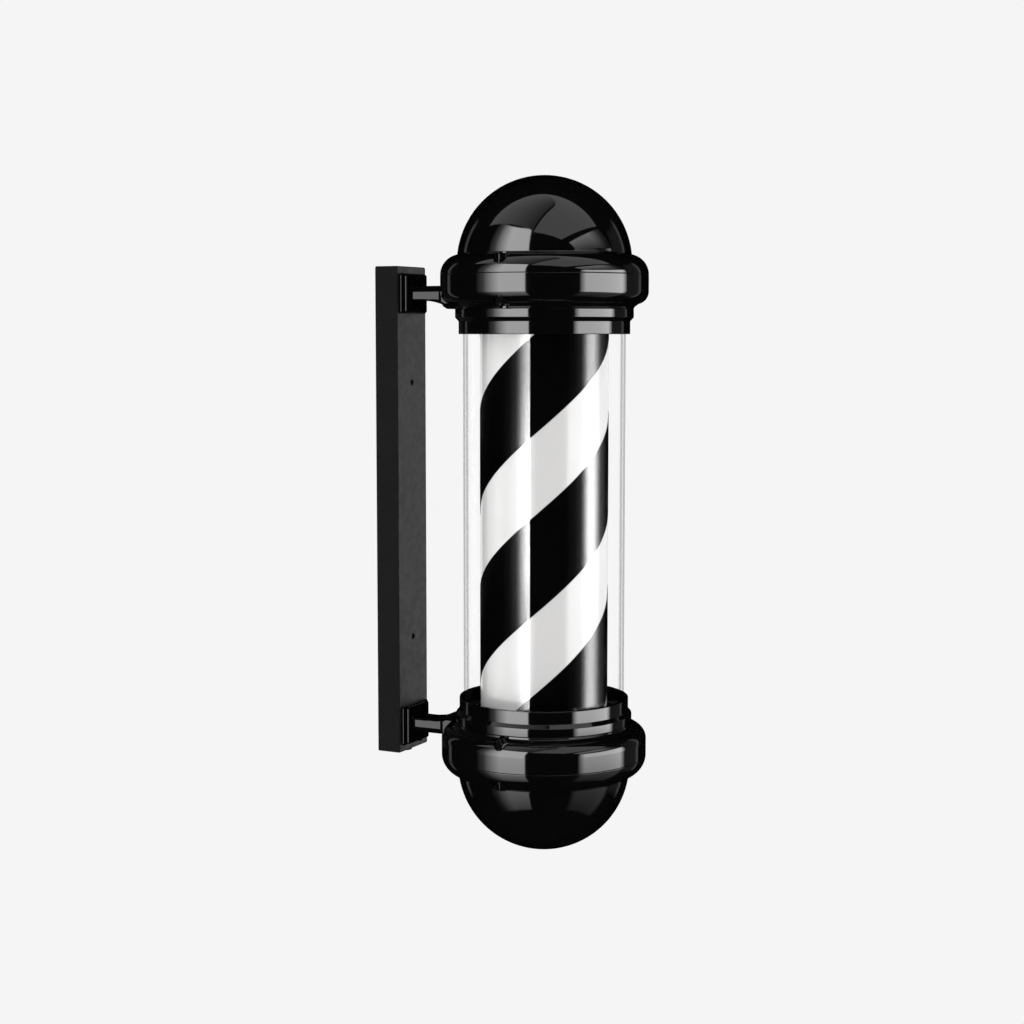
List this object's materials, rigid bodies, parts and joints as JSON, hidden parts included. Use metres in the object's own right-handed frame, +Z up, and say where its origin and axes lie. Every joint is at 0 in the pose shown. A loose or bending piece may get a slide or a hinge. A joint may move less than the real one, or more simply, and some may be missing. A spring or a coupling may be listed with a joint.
{
  "type": "barber pole",
  "caption": "Wall-mounted barber pole: a striped drum turned by a motor inside a clear tube, between black domed end caps on two cast brackets and a folded wall channel.",
  "frame": {"origin": "centre of the mounting channel's back face, midway between the two wall screw holes, on the wall plane", "axes": "+Z up along the pole, +Y into the wall, +X to the right of someone who faces the wall; the pole stands off towards -Y"},
  "size_m": [0.214, 0.29, 0.7],
  "materials": {
    "channel_enamel": "satin black stove enamel on folded steel",
    "gloss_black_enamel": "gloss black enamel on cast and spun aluminium",
    "black_screws": "black coated steel",
    "zinc_steel": "zinc plated steel",
    "clear_acrylic": "clear extruded acrylic tube",
    "black_rubber": "black rubber",
    "plate_aluminium": "milled aluminium",
    "motor_steel": "plated steel can and ground shaft",
    "brass": "turned brass",
    "white_drum_plastic": "opal white extruded plastic, lit from inside",
    "black_film": "gloss black self-adhesive film",
    "disc_plastic": "moulded light grey plastic",
    "nylon": "natural nylon",
    "lamp_board": "white circuit board with lamp packages",
    "red_wire": "red insulated lead",
    "blue_wire": "blue insulated lead"
  },
  "bodies": {
    "frame": {"mounting_channel": "channel_enamel", "wall_spacers": "zinc_steel", "cable_grommet": "black_rubber", "upper_bracket": "gloss_black_enamel", "lower_bracket": "gloss_black_enamel", "bracket_screws": "black_screws", "bracket_nuts": "zinc_steel", "arm_bolts": "zinc_steel", "upper_collar": "gloss_black_enamel", "lower_collar": "gloss_black_enamel", "upper_neck_ring": "gloss_black_enamel", "lower_neck_ring": "gloss_black_enamel", "neck_ring_screws": "zinc_steel", "outer_tube": "clear_acrylic", "tube_gaskets": "black_rubber", "upper_end_plate": "plate_aluminium", "lower_end_plate": "plate_aluminium", "plate_screws": "zinc_steel", "upper_dome": "gloss_black_enamel", "lower_dome": "gloss_black_enamel", "dome_seals": "black_rubber", "cap_bolts": "black_screws", "cap_washers": "black_screws", "cap_nuts": "black_screws", "centre_post": "plate_aluminium", "post_washers": "zinc_steel", "post_nuts": "zinc_steel", "post_collar": "zinc_steel", "post_collar_screw": "black_screws", "thrust_washer": "brass", "led_strips": "lamp_board", "motor": "motor_steel", "motor_screws": "zinc_steel", "led_driver": "disc_plastic", "driver_screws": "zinc_steel", "terminal_block": "disc_plastic", "terminal_screw": "zinc_steel", "motor_lead": "red_wire", "driver_lead": "red_wire", "led_lead": "blue_wire"},
    "drum": {"drum_shell": "white_drum_plastic", "drum_stripes": "black_film", "lower_drum_disc": "disc_plastic", "upper_drum_disc": "disc_plastic", "lower_drum_bush": "nylon", "upper_drum_bush": "nylon", "disc_screws": "zinc_steel", "drum_gear": "nylon", "gear_screws": "zinc_steel"},
    "motor_drive": {"motor_shaft": "motor_steel", "motor_pinion": "brass", "pinion_screw": "black_screws"}
  },
  "joints": [
    {"name": "drum_spin", "type": "hinge", "parent": "frame", "child": "drum", "pos_m": [0, -0.183, 0], "axis": [0, 0, 1], "continuous": true},
    {"name": "pinion_spin", "type": "hinge", "parent": "frame", "child": "motor_drive", "pos_m": [0, -0.237, -0.214], "axis": [0, 0, 1], "continuous": true}
  ],
  "couplings": [
    {"joint": "pinion_spin", "follows": "drum_spin", "ratio": -3}
  ]
}
